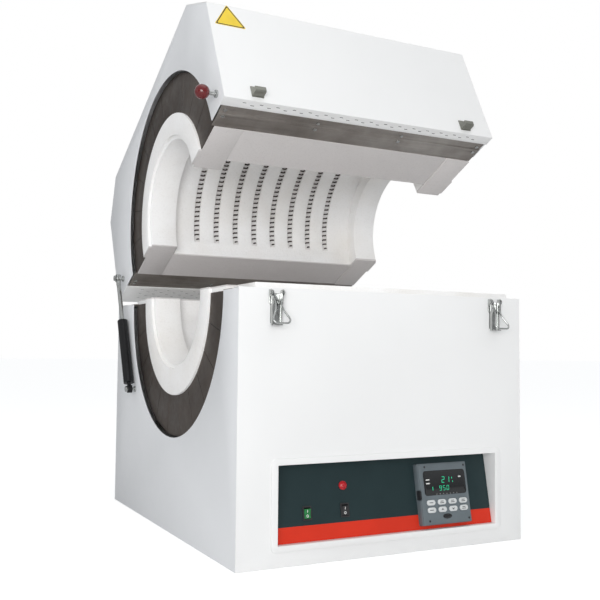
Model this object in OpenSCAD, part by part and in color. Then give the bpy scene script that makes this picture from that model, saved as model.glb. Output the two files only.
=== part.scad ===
// Hinged split tube furnace: a box base and a box lid, each with half of a round heated chamber.
// X runs along the chamber, the front faces -Y, and the origin is the centre of the base's underside.
// The lid is drawn shut and then swung open about its hinge.

/* [Case] */
// Width of the case, along the chamber
case_w = 550; // [520:5:600]
// Depth of the case, front to rear
case_d = 695; // [680:5:720]
// Height of the base's steel edge
base_h = 429; // [420:1:450]
// Height of the lid's upright wall
lid_wall_h = 213; // [205:1:225]
// Depth of the lid's sloping corner
slope_d = 80; // [70:1:90]
// Height of the lid's sloping corner
slope_h = 75; // [70:1:85]
// Thickness of the case's sheet steel
sheet_t = 2; // [1.5:0.5:2]
// Angle of the open lid
open_angle = 25.7; // [15:0.1:28]

/* [Chamber] */
// Chamber axis behind the front face
axis_depth = 321; // [318:1:324]
// Radius of the heated chamber
chamber_r = 161; // [155:1:165]
// Radius of the tube seat in each end collar
collar_r = 133; // [120:1:136]
// Length of each end collar
collar_len = 53; // [45:1:55]
// Outer radius of the fibre insulation
fibre_r = 247; // [246:0.5:248]
// Inner radius of the steel end rings
ring_r = 181; // [178:1:186]
// Segments in each half of an end ring
ring_segments = 11; // [6:1:14]
// Heating coils in each half
coil_count = 8; // [5:1:8]
// Distance between heating coils
coil_pitch = 44.5; // [40:0.5:45]

/* [Control panel] */
// Width of the window for the control panel
window_w = 422; // [400:1:430]
// Height of the window for the control panel
window_h = 122; // [116:1:126]
// Height of the window's lower edge
window_z = 33.5; // [30:0.5:40]
// Centre of the window, to the right of the case's centre
window_x = 4.5; // [0:0.5:8]
// Size of the controller's square bezel
controller_w = 102; // [100:1:103]

/* [Latches] */
// Distance of each latch from the case's centre
latch_x = 214; // [200:1:220]
// Radius of the bail's wire
wire_r = 1.5; // [1.3:0.05:1.55]

/* [Hidden] */
$fn = 96;

// Case planes
half_w = case_w / 2;
front_y = -case_d / 2;
rear_y = case_d / 2;
axis_y = front_y + axis_depth;
seam = 8.5;
lid_z = base_h + seam;
wall_z = lid_z + lid_wall_h;
top_z = wall_z + slope_h;
slope_len = sqrt(slope_d * slope_d + slope_h * slope_h);
bay_z = 168;

// Chamber
fibre_z = lid_z - 0.65;
face_gap = 0.15;
collar_step = 2;
lip_step = 7;
left_end_x = -half_w + 9.5;
right_end_x = half_w - 4.5;
ring_t = 1.5;
casing_r = fibre_r + 1;
casing_t = 2;
cutout_r = 257.5;
ring_out = cutout_r - 2.5;
coil_r = 4.5;
coil_ring_r = chamber_r + 2.5;
groove_depth = coil_ring_r + coil_r + 0.05 - chamber_r;
groove_w = 13;
coil_start = 13;

// Flanges and seal strips along the seam, measured inwards from the front or rear face
front_flange = 21;
rear_flange = 70;
strip_w = 37;
strip_t = 1.5;
gasket_end = 28;
screw_pitch = 174;
screw_rows = [33, 47];
screw_head = 1.1;
slot_pitch = 30.5;
slot_size = [6.5, 1.6];

// Hinge
hinge_y = rear_y + 5.4;
hinge_z = base_h + 5.95;
hinge_x = 190;
pin_r = 3;
knuckle_r = 5;
knuckle_w = 20;

// Gas springs
spring_x = half_w + 12.5;
base_stud = [201, 250];
lid_stud = [292.5, 465.5];
ball_r = 5;
gas_r = 10.8;
gas_bore = gas_r - 1.8;
gas_len = 144;
gas_start = 14;
rod_r = 4.5;
piston_r = gas_bore - 0.3;

// Control panel
panel_front = 8;
panel_rear = 31.5;
panel_tilt = atan((panel_rear - panel_front) / window_h);
panel_len = window_h / cos(panel_tilt);
panel_t = 2.5;
trim_w = 9.5;
controller_x = 109;
controller_z = 56.8;
bezel_t = 13;
window_at = [2.1, 17.9];
notch_d = 3;
key_travel = 0.6;
key_back = -bezel_t + 2.2;
lamp_at = [-83.5, 82];
switch_at = [[-151.5, 43], [-83, 43]];
rocker_axis = 1.5;
trunnion_r = 1.2;

// Latches, in a latch's own frame: y outwards from the front face, z as in the case
latch_pivot = [-7, 421];
bail_pivot = [-9, 410];
bail_lean = 27;
bail_len = 41;

function edge_z(side) = side > 0 ? lid_z : base_h;
function face_z(side) = fibre_z + side * face_gap;

// A closed lid point (y, z) after the lid has swung open
function opened_yz(p) =
    let (dy = p[0] - hinge_y, dz = p[1] - hinge_z, c = cos(open_angle), s = sin(open_angle))
    [hinge_y + dy * c + dz * s, hinge_z - dy * s + dz * c];

lid_stud_open = opened_yz(lid_stud);
spring_vector = lid_stud_open - base_stud;
spring_len = norm(spring_vector);
spring_lean = atan2(spring_vector[0], spring_vector[1]);

// ---- Shared shapes ----

module opened() {
    translate([0, hinge_y, hinge_z]) rotate([-open_angle, 0, 0])
        translate([0, -hinge_y, -hinge_z]) children();
}

// A (y, z) outline extruded from x0 to x1
module along_x(x0, x1) {
    translate([x0, 0, 0]) rotate([90, 0, 90]) linear_extrude(x1 - x0) children();
}

module x_rod(x0, x1, y, z, r) {
    along_x(x0, x1) translate([y, z]) circle(r);
}

module half_plane(side, z) {
    reach = 400;
    translate([axis_y - reach, side > 0 ? z : z - reach]) square([2 * reach, reach]);
}

module half_ring(side, r_in, r_out, centre_z, cut_z) {
    intersection() {
        difference() {
            translate([axis_y, centre_z]) circle(r_out);
            translate([axis_y, centre_z]) circle(r_in);
        }
        half_plane(side, cut_z);
    }
}

// The outline of the fibre: round outside, flat at the seam, with its bore on the chamber axis
module fibre_outline(side, bore_r, face, out_r = fibre_r) {
    difference() {
        union() {
            intersection() {
                translate([axis_y, edge_z(side)]) circle(out_r);
                half_plane(side, edge_z(side));
            }
            translate([axis_y - out_r, min(face, edge_z(side))])
                square([2 * out_r, abs(face - edge_z(side))]);
        }
        translate([axis_y, fibre_z]) circle(bore_r);
    }
}

module around_chamber(side, x) {
    translate([x, axis_y, fibre_z]) rotate([90, 0, 90]) mirror([0, side > 0 ? 0 : 1, 0])
        children();
}

module fibre_shell(side) {
    difference() {
        along_x(left_end_x + collar_len, right_end_x - collar_len)
            fibre_outline(side, chamber_r, face_z(side));
        for (i = [0 : coil_count - 1])
            around_chamber(side, (i - (coil_count - 1) / 2) * coil_pitch)
                rotate([0, 0, coil_start - 1]) rotate_extrude(angle = 182 - 2 * coil_start)
                    translate([chamber_r - 3, -groove_w / 2]) square([groove_depth + 3, groove_w]);
        if (side < 0) thermocouple_hole(3.2);
    }
}

// Each collar fills its end and has a lip that stands out through the steel end ring
module fibre_collars(side) {
    left_face = face_z(side);
    right_face = face_z(side) - collar_step;
    along_x(left_end_x, left_end_x + collar_len) fibre_outline(side, collar_r, left_face);
    along_x(left_end_x - 5.5, left_end_x + 1)
        fibre_outline(side, collar_r + lip_step, left_face, ring_r - 0.3);
    along_x(right_end_x - collar_len, right_end_x) fibre_outline(side, collar_r, right_face);
    along_x(right_end_x - 1, right_end_x + 3.5)
        fibre_outline(side, collar_r + lip_step, right_face, ring_r - 0.3);
}

module heating_coils(side) {
    for (i = [0 : coil_count - 1])
        around_chamber(side, (i - (coil_count - 1) / 2) * coil_pitch)
            rotate([0, 0, coil_start]) rotate_extrude(angle = 180 - 2 * coil_start)
                translate([coil_ring_r, 0]) circle(coil_r, $fn = 24);
}

module inner_casing(side) {
    difference() {
        along_x(left_end_x, right_end_x)
            half_ring(side, casing_r, casing_r + casing_t, edge_z(side), edge_z(side) + side * 2);
        if (side < 0) thermocouple_hole(3.4);
    }
}

module end_ring(side, x) {
    slit = 1.2;
    along_x(x, x + ring_t) difference() {
        half_ring(side, ring_r, ring_out, edge_z(side), edge_z(side) + side * 2);
        for (i = [1 : ring_segments - 1])
            translate([axis_y, edge_z(side)]) rotate(side * i * 180 / ring_segments)
                translate([ring_r - 5, -slit / 2]) square([ring_out - ring_r + 10, slit]);
    }
}

module end_rings(side) {
    end_ring(side, left_end_x - ring_t);
    end_ring(side, right_end_x);
}

// Seal strips: an outer strip behind the case's flange and an inner one lapped over it
module seal_strip(side, from_y, way) {
    outer_z = side > 0 ? lid_z + sheet_t : base_h - sheet_t - strip_t;
    inner_z = side > 0 ? lid_z + sheet_t - strip_t : base_h - sheet_t;
    inner_y = way > 0 ? axis_y - fibre_r - 0.3 : axis_y + fibre_r + 0.3;
    lap_y = from_y + way * 18;
    strip_x = half_w - 2 * sheet_t;
    difference() {
        union() {
            translate([-strip_x, min(from_y, from_y + way * 20), outer_z])
                cube([2 * strip_x, 20, strip_t]);
            translate([-strip_x, min(lap_y, inner_y), inner_z])
                cube([2 * strip_x, abs(inner_y - lap_y), strip_t]);
        }
        if (side > 0) screws_at(way) translate([0, 0, -5]) cylinder(r = 1.7, h = 20, $fn = 24);
    }
}

module seal_strips(side) {
    seal_strip(side, front_y + front_flange - 0.5, 1);
    seal_strip(side, rear_y - rear_flange + 0.5, -1);
}

// Screw places on the lid's front strip; the rear strip mirrors them
module screws_at(way) {
    for (i = [-1.5 : 1 : 1.5], row = [0, 1])
        translate([
            i * screw_pitch,
            way > 0 ? front_y + screw_rows[row] : rear_y - rear_flange - screw_rows[row] + front_flange,
            lid_z + sheet_t - row * strip_t
        ]) children();
}

// A folded-in flange with staggered rows of vent slots
module slotted_flange(y0, width, rows, row_pitch) {
    columns = floor((case_w - 40) / slot_pitch);
    difference() {
        translate([-half_w, y0]) square([case_w, width]);
        for (row = [0 : rows - 1], i = [0 : columns - 1])
            translate([
                (i - (columns - 1) / 2 + (row % 2) / 2 - 0.25) * slot_pitch - slot_size[0] / 2,
                y0 + (width - (rows - 1) * row_pitch) / 2 + row * row_pitch - slot_size[1] / 2
            ]) square(slot_size);
    }
}

module front_slots_flange() { slotted_flange(front_y, front_flange, 2, 4.5); }
module rear_slots_flange() { slotted_flange(rear_y - rear_flange, rear_flange, 6, 9); }

// The lid's closed outline, drawn inwards by t
module lid_outline(t) {
    shoulder = wall_z + t * (slope_h - slope_len) / slope_d;
    ridge = (slope_d * (slope_h - t) + t * slope_len) / slope_h;
    polygon([
        [front_y + t, lid_z], [front_y + t, shoulder], [front_y + ridge, top_z - t],
        [rear_y - ridge, top_z - t], [rear_y - t, shoulder], [rear_y - t, lid_z]
    ]);
}

module on_panel() {
    translate([window_x, front_y + panel_front, window_z]) rotate([-panel_tilt, 0, 0]) children();
}

// An outline in the control panel's own plane, from depth y0 (outwards is negative) to y1
module panel_plate(y0, y1) {
    translate([0, y1, 0]) rotate([90, 0, 0]) linear_extrude(y1 - y0) children();
}

module centred(size) { square(size, center = true); }

module rounded(size, r) {
    for (side = [-1, 1], end = [-1, 1])
        translate([side * (size[0] / 2 - r), end * (size[1] / 2 - r)]) circle(r);
    centred([size[0] - 2 * r, size[1]]);
    centred([size[0], size[1] - 2 * r]);
}

// ---- Base case ----

module base_front_panel() {
    cut = [window_w + 2 * sheet_t + 0.4, window_h + 2 * sheet_t + 0.4];
    color("white") {
        difference() {
            translate([-half_w, front_y, 0]) cube([case_w, sheet_t, base_h]);
            translate([window_x, front_y, window_z + window_h / 2])
                cube([cut[0], 3 * sheet_t, cut[1]], center = true);
        }
        translate([0, 0, base_h - sheet_t]) linear_extrude(sheet_t) front_slots_flange();
    }
}

module base_side_panel(x) {
    color("gainsboro") along_x(x, x + sheet_t) difference() {
        translate([front_y + sheet_t, 0]) square([case_d - 2 * sheet_t, base_h - sheet_t]);
        translate([axis_y, base_h]) circle(cutout_r);
    }
}

module base_left_panel() { base_side_panel(-half_w); }
module base_right_panel() { base_side_panel(half_w - sheet_t); }

module base_rear_panel() {
    color("white") {
        difference() {
            translate([-half_w, rear_y - sheet_t, 0]) cube([case_w, sheet_t, base_h]);
            gland_axis() cylinder(r = 9.1, h = 20, center = true);
            for (i = [-6 : 6])
                translate([-60 + i * 12, rear_y, 105]) cube([4, 3 * sheet_t, 50], center = true);
        }
        translate([0, 0, base_h - sheet_t]) linear_extrude(sheet_t) rear_slots_flange();
    }
}

module base_floor() {
    color("gainsboro") translate([-half_w + sheet_t, front_y + sheet_t, 0])
        cube([case_w - 2 * sheet_t, case_d - 2 * sheet_t, sheet_t]);
}

module heat_shield() {
    color("silver") difference() {
        translate([-half_w + sheet_t, front_y + 40, bay_z])
            cube([case_w - 2 * sheet_t, case_d - 40 - sheet_t, 1.5]);
        thermocouple_hole(3.4);
    }
}

// ---- Base chamber ----

module base_seal_strips() { color("dimgray") seal_strips(-1); }

module base_gaskets() {
    top = face_z(-1);
    length = case_w - 2 * gasket_end;
    color("white") {
        translate([-length / 2, front_y + 1, base_h])
            cube([length, axis_y - fibre_r - 0.3 - front_y - 1, top - base_h]);
        translate([-length / 2, axis_y + fibre_r + 0.3, base_h])
            cube([length, 76, top - base_h]);
    }
}

module base_inner_casing() { color("dimgray") inner_casing(-1); }
module base_end_rings() { color("dimgray") end_rings(-1); }
module base_fibre_shell() { color("whitesmoke") fibre_shell(-1); }
module base_fibre_collars() { color("whitesmoke") fibre_collars(-1); }
module base_heating_coils() { color("darkslategray") heating_coils(-1); }

module thermocouple_hole(r) {
    translate([0, axis_y, bay_z - 10]) cylinder(r = r, h = 150, $fn = 32);
}

module thermocouple() {
    tip_z = fibre_z - chamber_r + 15;
    color("silver") {
        translate([0, axis_y, bay_z - 6]) cylinder(r = 3, h = tip_z - bay_z + 6, $fn = 32);
        translate([0, axis_y, bay_z - 28]) cylinder(r = 11, h = 22, $fn = 48);
    }
}

// ---- Control panel ----

module panel_trim() {
    back = front_y + panel_rear;
    mid_z = window_z + window_h / 2;
    outer = [window_w + 2 * trim_w + 3, window_h + 2 * trim_w + 1];
    wall = [
        [front_y, window_z - sheet_t], [front_y, window_z + window_h + sheet_t],
        [back, window_z + window_h + sheet_t], [back, window_z + window_h],
        [front_y + panel_front, window_z], [front_y + panel_front, window_z - sheet_t]
    ];
    color("white") {
        translate([window_x, front_y, mid_z]) rotate([90, 0, 0]) linear_extrude(3) difference() {
            rounded(outer, 8);
            centred([window_w, window_h]);
        }
        for (side = [-1, 1])
            translate([window_x + side * (window_w + sheet_t) / 2, 0, 0])
                along_x(-sheet_t / 2, sheet_t / 2) polygon(wall);
        translate([window_x - window_w / 2, front_y, window_z + window_h])
            cube([window_w, panel_rear, sheet_t]);
        translate([window_x - window_w / 2, front_y, window_z - sheet_t])
            cube([window_w, panel_front, sheet_t]);
    }
}

module control_panel() {
    color("darkslategray") on_panel() panel_plate(0, panel_t) difference() {
        translate([-window_w / 2, 0]) square([window_w, panel_len]);
        translate([controller_x, controller_z]) centred([90.4, 90.4]);
        translate(lamp_at) circle(5.1);
        for (at = switch_at) translate(at) centred([13.2, 19.8]);
    }
}

function key_at(i) = [-31.2 + 22.3 * (i % 4), i < 4 ? -14.4 : -26.7];

module key_outline(grow) {
    r = 4.4 + grow;
    for (side = [-1, 1]) translate([side * 4, 0]) circle(r);
    centred([8, 2 * r]);
}

module controller_housing() {
    color("slategray") on_panel() translate([controller_x, 0, controller_z]) difference() {
        union() {
            panel_plate(-bezel_t + 2, 0) rounded([controller_w, controller_w], 2);
            panel_plate(-bezel_t, -bezel_t + 2) rounded([controller_w - 3, controller_w - 3], 2);
            panel_plate(0, 88) centred([90, 90]);
        }
        panel_plate(-bezel_t - 1, -bezel_t + 1.5) translate(window_at) rounded([87.4, 41.4], 5.2);
        for (i = [0 : 7])
            panel_plate(-bezel_t - 1, key_back + key_travel + 0.2) translate(key_at(i)) key_outline(0.3);
        panel_plate(-bezel_t - 1, -1) polygon([
            [-controller_w / 2 - 1, -11], [-controller_w / 2 + notch_d, -8],
            [-controller_w / 2 + notch_d, 6], [-controller_w / 2 - 1, 9]
        ]);
    }
}

module controller_display() {
    color("black") on_panel() translate([controller_x, 0, controller_z])
        panel_plate(-bezel_t + 0.3, -bezel_t + 1.5) translate(window_at) rounded([87, 41], 5);
}

module controller_key(i) {
    color("white") on_panel() translate([controller_x, 0, controller_z])
        panel_plate(-bezel_t - 0.9, key_back) translate(key_at(i)) key_outline(0);
}

module indicator_lamp() {
    color("red") on_panel() translate([lamp_at[0], 0, lamp_at[1]]) rotate([-90, 0, 0]) {
        translate([0, 0, -2.2]) cylinder(r = 7, h = 2.2);
        intersection() {
            translate([0, 0, 2.2]) sphere(r = 7.6);
            translate([0, 0, -6]) cylinder(r = 6.2, h = 4);
        }
        cylinder(r = 5, h = 22);
    }
}

module switch_frames() {
    color("black") on_panel() for (at = switch_at) translate([at[0], 0, at[1]]) difference() {
        union() {
            panel_plate(-1.8, 0) rounded([15.6, 22.4], 1);
            panel_plate(0, 16) centred([13, 19.6]);
        }
        panel_plate(-5, 12) centred([11.4, 17.9]);
        x_rod(-7, 7, rocker_axis, 0, trunnion_r + 0.05);
    }
}

module rocker(at) {
    color(at[0] < -100 ? "limegreen" : "black") on_panel() translate([at[0], rocker_axis, at[1]])
        rotate([8, 0, 0]) {
            along_x(-5.4, 5.4) polygon([[3, -6], [-4.6, -7.4], [-3.2, 0], [-4.6, 7.4], [3, 6]]);
            x_rod(-6.2, 6.2, 0, 0, trunnion_r);
        }
}

module rocker_power() { rocker(switch_at[0]); }
module rocker_heating() { rocker(switch_at[1]); }

// ---- Electrical bay ----

module relay_heatsink() {
    color("silver") translate([-120, 60, sheet_t]) {
        translate([0, 0, 30]) cube([90, 80, 8]);
        for (i = [0 : 8]) translate([i * 11, 0, 0]) cube([2, 80, 30]);
    }
}

module power_relay() {
    color("black") translate([-98, 70, sheet_t + 38]) difference() {
        cube([46, 60, 23]);
        for (x = [4, 30], y = [-1, 49]) translate([x, y, 12]) cube([12, 12, 12]);
    }
}

module gland_axis() { translate([180, rear_y, 60]) rotate([-90, 0, 0]) children(); }

module cable_gland() {
    color("black") gland_axis() difference() {
        union() {
            cylinder(r = 13, h = 8, $fn = 6);
            translate([0, 0, 8]) cylinder(r = 10.5, h = 10);
            translate([0, 0, -12]) cylinder(r = 9, h = 12);
            translate([0, 0, -sheet_t - 5]) cylinder(r = 13, h = 5, $fn = 6);
        }
        translate([0, 0, -13]) cylinder(r = 5.5, h = 40);
    }
}

// ---- Hinge ----

// One hinge's knuckles, leaf and bore; the base's knuckles stand outside the lid's
module leaf(knuckles, bore_r, z0, z1) {
    for (x = [-hinge_x, hinge_x]) difference() {
        union() {
            translate([x - 1.5 * knuckle_w, rear_y, z0]) cube([3 * knuckle_w, 2, z1 - z0]);
            for (k = knuckles) {
                x0 = x + (k - 0.5) * knuckle_w + 0.3;
                x_rod(x0, x0 + knuckle_w - 0.6, hinge_y, hinge_z, knuckle_r);
                translate([x0, rear_y + 0.4, min(z1, hinge_z)])
                    cube([knuckle_w - 0.6, 2, abs(hinge_z - (z1 < hinge_z ? z1 : z0))]);
            }
        }
        x_rod(x - 40, x + 40, hinge_y, hinge_z, bore_r);
    }
}

module hinge_base_leaves() { color("white") leaf([-1, 1], pin_r + 0.03, base_h - 36, base_h - 1); }
module hinge_lid_leaves() { color("white") opened() lid_leaf(); }

module lid_leaf() {
    z0 = lid_z + 3;
    for (x = [-hinge_x, hinge_x]) {
        x0 = x - knuckle_w / 2 + 0.3;
        difference() {
            union() {
                translate([x - 1.5 * knuckle_w, rear_y, z0]) cube([3 * knuckle_w, 2, 34]);
                x_rod(x0, x0 + knuckle_w - 0.6, hinge_y, hinge_z, knuckle_r);
                translate([x0, rear_y + 0.4, hinge_z]) cube([knuckle_w - 0.6, 2, z0 - hinge_z + 1]);
            }
            x_rod(x - 40, x + 40, hinge_y, hinge_z, pin_r + 0.05);
        }
    }
}

module hinge_pins() {
    color("silver") for (x = [-hinge_x, hinge_x]) {
        x_rod(x - 1.5 * knuckle_w, x + 1.5 * knuckle_w, hinge_y, hinge_z, pin_r);
        for (end = [-1, 1])
            x_rod(x + end * (1.5 * knuckle_w + 1) - 1, x + end * (1.5 * knuckle_w + 1) + 1,
                hinge_y, hinge_z, pin_r + 1);
    }
}

// ---- Gas springs ----

module ball_studs(at) {
    color("silver") mirrored_x() {
        translate([spring_x, at[0], at[1]]) rotate(90) sphere(r = ball_r);
        x_rod(half_w, spring_x + 6, at[0], at[1], 3);
        x_rod(half_w, half_w + 3, at[0], at[1], 6.5);
        x_rod(spring_x + 5, spring_x + 9, at[0], at[1], 6);
    }
}

module base_ball_studs() { ball_studs(base_stud); }
module lid_ball_studs() { opened() ball_studs(lid_stud); }

module on_spring(side) {
    translate([side * spring_x, base_stud[0], base_stud[1]]) rotate([-spring_lean, 0, 0]) children();
}

module gas_cylinder(side) {
    color("black") on_spring(side) difference() {
        union() {
            x_rod(-4.5, 4.5, 0, 0, 8);
            translate([0, 0, 6]) cylinder(r = 4, h = gas_start - 6);
            translate([0, 0, gas_start]) cylinder(r = gas_r, h = gas_len);
        }
        x_rod(-6, 6, 0, 0, ball_r + 0.3);
        translate([0, 0, gas_start + 4]) cylinder(r = gas_bore, h = gas_len - 9);
        translate([0, 0, gas_start + 4]) cylinder(r = rod_r + 0.06, h = gas_len);
    }
}

module gas_rod(side) {
    piston_z = 92;
    color("silver") on_spring(side) difference() {
        union() {
            translate([0, 0, piston_z]) cylinder(r = rod_r, h = spring_len - piston_z - 8);
            translate([0, 0, piston_z]) cylinder(r = piston_r, h = 8);
            x_rod(-4.5, 4.5, 0, spring_len, 9);
            translate([0, 0, spring_len - 18]) cylinder(r = 5, h = 10);
        }
        x_rod(-6, 6, 0, spring_len, ball_r + 1.8);
    }
}

module gas_cylinder_left() { gas_cylinder(-1); }
module gas_cylinder_right() { gas_cylinder(1); }
module gas_rod_left() { gas_rod(-1); }
module gas_rod_right() { gas_rod(1); }

// ---- Latches ----

module at_latch(side) { translate([side * latch_x, front_y, 0]) children(); }

module mirrored_x() {
    children();
    mirror([1, 0, 0]) children();
}

module latch_plate() {
    side = [[8.5, 374], [8.5, 402], [11, 405], [11, 420]];
    rotate([90, 0, 0]) linear_extrude(1.5) polygon(concat(side, mirrored_points(reversed(side))));
    mirrored_x() along_x(9.6, 11) difference() {
        union() {
            translate(latch_pivot) circle(5.4);
            translate([latch_pivot[0], latch_pivot[1] - 5]) square([-latch_pivot[0], 10]);
        }
        translate(latch_pivot) circle(2.05, $fn = 48);
    }
}

module latch_plates() { color("silver") for (side = [-1, 1]) at_latch(side) latch_plate(); }

module latch_lever(side) {
    cheek = [[-12, 421], [-12, 404], [-8, 398], [-8, 370.6], [-3, 370.6], [-3, 421]];
    web = [[-4.4, 404], [-3, 404], [-3, 370.6], [-14, 370.6], [-14, 372], [-4.4, 372]];
    color("silver") at_latch(side) {
        mirrored_x() {
            along_x(7.2, 8.6) difference() {
                union() {
                    translate(latch_pivot) circle(4.2);
                    polygon(cheek);
                }
                translate(bail_pivot) circle(wire_r + 0.1, $fn = 48);
            }
            x_rod(7.8, 11.8, latch_pivot[0], latch_pivot[1], 2);
            x_rod(11.3, 12.5, latch_pivot[0], latch_pivot[1], 3.2);
        }
        along_x(-7.2, 7.2) polygon(web);
    }
}

function reversed(points) = [for (i = [len(points) - 1 : -1 : 0]) points[i]];
function mirrored_points(points) = [for (p = points) [-p[0], p[1]]];

// The bail: round stubs in the lever's cheeks, parallel legs that flare, and a cross bar
module latch_bail(side) {
    leg_x = 5.1;
    stub_end = 9.2;
    bail_t = 1.7 * wire_r;
    middle = [[leg_x, wire_r], [leg_x, -15], [13.4, 8 - bail_len], [13.4, 5 - bail_len]];
    outer = concat([for (p = middle) p + [wire_r, 0]], [[11.5, -bail_len - wire_r]]);
    inner = concat([for (p = middle) p - [wire_r, 0]], [[10, -bail_len + wire_r]]);
    outline = concat(outer, mirrored_points(reversed(outer)), mirrored_points(inner), reversed(inner));
    color("silver") at_latch(side) translate([0, bail_pivot[0], bail_pivot[1]]) rotate([-bail_lean, 0, 0]) {
        translate([0, bail_t / 2, 0]) rotate([90, 0, 0]) linear_extrude(bail_t) polygon(outline);
        x_rod(leg_x - 0.5, stub_end, 0, 0, wire_r);
        x_rod(-stub_end, -leg_x + 0.5, 0, 0, wire_r);
    }
}

module latch_lever_left() { latch_lever(-1); }
module latch_lever_right() { latch_lever(1); }
module latch_bail_left() { latch_bail(-1); }
module latch_bail_right() { latch_bail(1); }

// The lid's keepers: a plate with a shelf and an upturned lip that the bail's bar drops behind
module lid_keepers() {
    shelf = bail_pivot[1] + bail_len - wire_r - 0.3;
    lip = shelf + 8;
    under = shelf - 1.6;
    hook = [
        [0, under], [-13, under], [-15, under + 2], [-15, lip], [-13.4, lip],
        [-13.4, shelf + 1], [-12.4, shelf], [0, shelf]
    ];
    color("silver") opened() for (side = [-1, 1]) at_latch(side) {
        translate([-11, -1.5, lid_z + 8.5]) cube([22, 1.5, 22]);
        along_x(-10, 10) polygon(hook);
    }
}

// ---- Lid case ----

module lid_cover() {
    color("white") opened() {
        along_x(-half_w, half_w) difference() {
            lid_outline(0);
            lid_outline(sheet_t);
        }
        translate([0, 0, lid_z]) linear_extrude(sheet_t) front_slots_flange();
        translate([0, 0, lid_z]) linear_extrude(sheet_t) rear_slots_flange();
    }
}

module lid_side_panel(x) {
    color("gainsboro") opened() along_x(x, x + sheet_t) difference() {
        intersection() {
            lid_outline(sheet_t);
            half_plane(1, lid_z + sheet_t);
        }
        translate([axis_y, lid_z]) circle(cutout_r);
    }
}

module lid_left_panel() { lid_side_panel(-half_w); }
module lid_right_panel() { lid_side_panel(half_w - sheet_t); }

// ---- Lid chamber ----

module lid_seal_strips() { color("dimgray") opened() seal_strips(1); }

module lid_strip_screws() {
    color("silver") opened() for (way = [-1, 1]) screws_at(way) {
        translate([0, 0, -screw_head]) cylinder(r = 3.4, h = screw_head, $fn = 32);
        cylinder(r = 1.6, h = 5, $fn = 24);
    }
}

module lid_inner_casing() { color("dimgray") opened() inner_casing(1); }
module lid_end_rings() { color("dimgray") opened() end_rings(1); }
module lid_fibre_shell() { color("whitesmoke") opened() fibre_shell(1); }
module lid_fibre_collars() { color("whitesmoke") opened() fibre_collars(1); }
module lid_heating_coils() { color("darkslategray") opened() heating_coils(1); }

// ---- Knob ----

knob_at = [front_y + 25, lid_z + 26.5];
stem_len = 15;
knob_r = 12.5;

module knob_stem() {
    color("silver") opened() {
        x_rod(-half_w - stem_len, -half_w, knob_at[0], knob_at[1], 3.5);
        x_rod(-half_w - 3.5, -half_w, knob_at[0], knob_at[1], 6.5);
    }
}

module knob_ball() {
    color("darkred") opened() difference() {
        translate([-half_w - stem_len - 11, knob_at[0], knob_at[1]]) rotate(180) sphere(r = knob_r);
        translate([-half_w - stem_len, knob_at[0] - 20, knob_at[1] - 20]) cube(40);
    }
}

base_front_panel();
base_left_panel();
base_right_panel();
base_rear_panel();
base_floor();
heat_shield();
base_seal_strips();
base_gaskets();
base_inner_casing();
base_end_rings();
base_fibre_shell();
base_fibre_collars();
base_heating_coils();
control_panel();
panel_trim();
controller_housing();
controller_display();
controller_key(0);  // controller_key_1
controller_key(1);  // controller_key_2
controller_key(2);  // controller_key_3
controller_key(3);  // controller_key_4
controller_key(4);  // controller_key_5
controller_key(5);  // controller_key_6
controller_key(6);  // controller_key_7
controller_key(7);  // controller_key_8
indicator_lamp();
switch_frames();
rocker_power();
rocker_heating();
relay_heatsink();
power_relay();
thermocouple();
cable_gland();
hinge_base_leaves();
hinge_pins();
base_ball_studs();
latch_plates();
lid_cover();
lid_left_panel();
lid_right_panel();
lid_seal_strips();
lid_strip_screws();
lid_inner_casing();
lid_end_rings();
lid_fibre_shell();
lid_fibre_collars();
lid_heating_coils();
lid_keepers();
knob_stem();
knob_ball();
hinge_lid_leaves();
lid_ball_studs();
gas_cylinder_left();
gas_rod_left();
gas_cylinder_right();
gas_rod_right();
latch_lever_left();
latch_bail_left();
latch_lever_right();
latch_bail_right();
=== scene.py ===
# Looks for the split tube furnace: materials, edge rounding, and pieces finer than the CAD carries.
import math

import bmesh
import bpy
from mathutils import Matrix, Vector


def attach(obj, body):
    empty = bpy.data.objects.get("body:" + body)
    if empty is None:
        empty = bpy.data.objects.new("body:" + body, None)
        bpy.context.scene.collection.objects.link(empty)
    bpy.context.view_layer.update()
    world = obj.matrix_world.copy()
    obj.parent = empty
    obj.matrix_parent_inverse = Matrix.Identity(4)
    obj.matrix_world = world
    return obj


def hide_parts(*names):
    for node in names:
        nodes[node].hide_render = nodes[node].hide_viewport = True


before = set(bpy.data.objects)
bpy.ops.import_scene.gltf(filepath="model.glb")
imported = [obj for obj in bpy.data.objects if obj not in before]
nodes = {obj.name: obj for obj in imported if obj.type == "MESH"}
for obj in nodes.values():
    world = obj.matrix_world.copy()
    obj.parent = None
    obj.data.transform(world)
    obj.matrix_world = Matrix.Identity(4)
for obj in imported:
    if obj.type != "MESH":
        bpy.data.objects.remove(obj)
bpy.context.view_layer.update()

# ---- Sizes and places shared with the CAD ----

MM = 0.001
FRONT, BASE_EDGE, LID_EDGE = -347.5, 429, 437.5  # millimetres: front face, the two edges at the seam
AXIS_Y, AXIS_Z = -26.5, 436.85  # millimetres: the chamber's axis
AXIS = Vector((0, AXIS_Y, AXIS_Z)) * MM
HINGE = Vector((0, 352.9, 434.95)) * MM
OPEN = math.radians(-25.7)
TILT = math.atan(23.5 / 122)
PANEL_FOOT_Z = 33.5
ON_PANEL = (
    Matrix.Translation(Vector((4.5, -339.5, PANEL_FOOT_Z)) * MM) @ Matrix.Rotation(-TILT, 4, "X")
)
OPENED = Matrix.Translation(HINGE) @ Matrix.Rotation(OPEN, 4, "X") @ Matrix.Translation(-HINGE)
REST = Matrix.Identity(4)


# ---- Material nodes ----


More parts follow.
